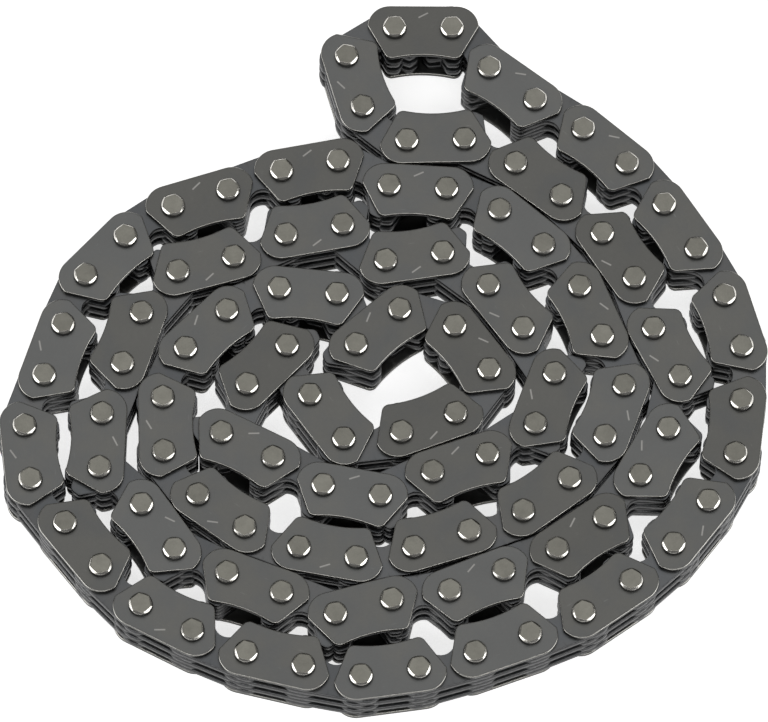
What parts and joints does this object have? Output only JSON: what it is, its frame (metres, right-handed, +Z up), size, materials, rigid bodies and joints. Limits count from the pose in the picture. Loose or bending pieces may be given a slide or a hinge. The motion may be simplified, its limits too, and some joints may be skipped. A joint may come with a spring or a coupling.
{
  "type": "silent timing chain",
  "caption": "Endless silent timing chain for an engine, wound flat: toothed link plates between outer guide plates on round staked pins.",
  "frame": {"origin": "on the surface the coil rests on, under the middle of its bounding box", "axes": "+Z up along every pivot pin; the coil lies flat in XY with its nose loop towards +Y"},
  "size_m": [0.0838, 0.083, 0.0071],
  "materials": {
    "guide_plate": "dark tempered steel, satin with fine rolling grain, lightly oiled, thin bright worn edges",
    "link_plate": "darker blued tempered steel, satin, bright worn edges on the toes",
    "pin": "bare ground steel, matte end face with bright staked facets"
  },
  "bodies": {
    "coil": {"coil_top_guide_plates": "guide_plate", "coil_bottom_guide_plates": "guide_plate", "coil_upper_link_plates": "link_plate", "coil_lower_link_plates": "link_plate", "coil_upper_inner_plates": "link_plate", "coil_middle_inner_plates": "link_plate", "coil_lower_inner_plates": "link_plate", "coil_pins": "pin"},
    "inner_55_01": {"inner_55_01_plates": "link_plate"},
    "inner_01_02": {"inner_01_02_plates": "link_plate"},
    "inner_02_03": {"inner_02_03_plates": "link_plate"},
    "inner_03_04": {"inner_03_04_plates": "link_plate"},
    "inner_04_05": {"inner_04_05_plates": "link_plate"},
    "inner_05_06": {"inner_05_06_plates": "link_plate"},
    "inner_06_07": {"inner_06_07_plates": "link_plate"},
    "inner_07_08": {"inner_07_08_plates": "link_plate"},
    "inner_08_09": {"inner_08_09_plates": "link_plate"},
    "inner_09_10": {"inner_09_10_plates": "link_plate"},
    "inner_10_11": {"inner_10_11_plates": "link_plate"},
    "link_01": {"link_01_guide_plates": "guide_plate", "link_01_link_plates": "link_plate", "link_01_pins": "pin"},
    "link_02": {"link_02_guide_plates": "guide_plate", "link_02_link_plates": "link_plate", "link_02_pins": "pin"},
    "link_03": {"link_03_guide_plates": "guide_plate", "link_03_link_plates": "link_plate", "link_03_pins": "pin"},
    "link_04": {"link_04_guide_plates": "guide_plate", "link_04_link_plates": "link_plate", "link_04_pins": "pin"},
    "link_05": {"link_05_guide_plates": "guide_plate", "link_05_link_plates": "link_plate", "link_05_pins": "pin"},
    "link_06": {"link_06_guide_plates": "guide_plate", "link_06_link_plates": "link_plate", "link_06_pins": "pin"},
    "link_07": {"link_07_guide_plates": "guide_plate", "link_07_link_plates": "link_plate", "link_07_pins": "pin"},
    "link_08": {"link_08_guide_plates": "guide_plate", "link_08_link_plates": "link_plate", "link_08_pins": "pin"},
    "link_09": {"link_09_guide_plates": "guide_plate", "link_09_link_plates": "link_plate", "link_09_pins": "pin"},
    "link_10": {"link_10_guide_plates": "guide_plate", "link_10_link_plates": "link_plate", "link_10_pins": "pin"},
    "link_11": {"link_11_guide_plates": "guide_plate", "link_11_link_plates": "link_plate", "link_11_pins": "pin"}
  },
  "joints": [
    {"name": "inner_55_01_pivot", "type": "hinge", "parent": "coil", "child": "inner_55_01", "pos_m": [0.00179, 0.02475, 0], "axis": [0, 0, 1], "range_deg": [0, 8]},
    {"name": "link_01_pivot", "type": "hinge", "parent": "inner_55_01", "child": "link_01", "pos_m": [-0.0032, 0.02867, 0], "axis": [0, 0, -1], "range_deg": [-26, 0]},
    {"name": "inner_01_02_pivot", "type": "hinge", "parent": "link_01", "child": "inner_01_02", "pos_m": [-0.00512, 0.03473, 0], "axis": [0, 0, 1], "range_deg": [-2, 60]},
    {"name": "link_02_pivot", "type": "hinge", "parent": "inner_01_02", "child": "link_02", "pos_m": [0.0001, 0.03834, 0], "axis": [0, 0, -1], "range_deg": [-26, 1]},
    {"name": "inner_02_03_pivot", "type": "hinge", "parent": "link_02", "child": "inner_02_03", "pos_m": [0.00645, 0.03849, 0], "axis": [0, 0, 1], "range_deg": [-10, 60]},
    {"name": "link_03_pivot", "type": "hinge", "parent": "inner_02_03", "child": "link_03", "pos_m": [0.0107, 0.03377, 0], "axis": [0, 0, -1], "range_deg": [-80, 20]},
    {"name": "link_11_pivot", "type": "hinge", "parent": "coil", "child": "link_11", "pos_m": [-0.00162, -0.03872, 0], "axis": [0, 0, -1], "range_deg": [0, 28]},
    {"name": "inner_10_11_pivot", "type": "hinge", "parent": "link_11", "child": "inner_10_11", "pos_m": [0.00464, -0.03765, 0], "axis": [0, 0, 1], "range_deg": [-28, 0]},
    {"name": "link_10_pivot", "type": "hinge", "parent": "inner_10_11", "child": "link_10", "pos_m": [0.01067, -0.03566, 0], "axis": [0, 0, -1], "range_deg": [0, 28]},
    {"name": "inner_09_10_pivot", "type": "hinge", "parent": "link_10", "child": "inner_09_10", "pos_m": [0.01656, -0.03329, 0], "axis": [0, 0, 1], "range_deg": [-28, 0]},
    {"name": "link_09_pivot", "type": "hinge", "parent": "inner_09_10", "child": "link_09", "pos_m": [0.02234, -0.03064, 0], "axis": [0, 0, -1], "range_deg": [0, 28]},
    {"name": "inner_08_09_pivot", "type": "hinge", "parent": "link_09", "child": "inner_08_09", "pos_m": [0.0274, -0.02681, 0], "axis": [0, 0, 1], "range_deg": [-28, 0]},
    {"name": "link_08_pivot", "type": "hinge", "parent": "inner_08_09", "child": "link_08", "pos_m": [0.03194, -0.02238, 0], "axis": [0, 0, -1], "range_deg": [0, 28]},
    {"name": "inner_07_08_pivot", "type": "hinge", "parent": "link_08", "child": "inner_07_08", "pos_m": [0.03566, -0.01723, 0], "axis": [0, 0, 1], "range_deg": [-28, 0]},
    {"name": "link_07_pivot", "type": "hinge", "parent": "inner_07_08", "child": "link_07", "pos_m": [0.03853, -0.01156, 0], "axis": [0, 0, -1], "range_deg": [0, 28]},
    {"name": "inner_06_07_pivot", "type": "hinge", "parent": "link_07", "child": "inner_06_07", "pos_m": [0.03912, -0.00524, 0], "axis": [0, 0, 1], "range_deg": [-12, 0]},
    {"name": "link_06_pivot", "type": "hinge", "parent": "inner_06_07", "child": "link_06", "pos_m": [0.03907, 0.00111, 0], "axis": [0, 0, -1], "range_deg": [0, 28]},
    {"name": "inner_05_06_pivot", "type": "hinge", "parent": "link_06", "child": "inner_05_06", "pos_m": [0.0371, 0.00715, 0], "axis": [0, 0, 1], "range_deg": [-28, 0]},
    {"name": "link_05_pivot", "type": "hinge", "parent": "inner_05_06", "child": "link_05", "pos_m": [0.03392, 0.01264, 0], "axis": [0, 0, -1], "range_deg": [0, 28]},
    {"name": "inner_04_05_pivot", "type": "hinge", "parent": "link_05", "child": "inner_04_05", "pos_m": [0.03031, 0.01787, 0], "axis": [0, 0, 1], "range_deg": [-28, 2]},
    {"name": "link_04_pivot", "type": "hinge", "parent": "inner_04_05", "child": "link_04", "pos_m": [0.02612, 0.02264, 0], "axis": [0, 0, -1], "range_deg": [-5, 45]},
    {"name": "inner_03_04_pivot", "type": "hinge", "parent": "link_04", "child": "inner_03_04", "pos_m": [0.02122, 0.02668, 0], "axis": [0, 0, 1], "range_deg": [-90, 8]}
  ]
}
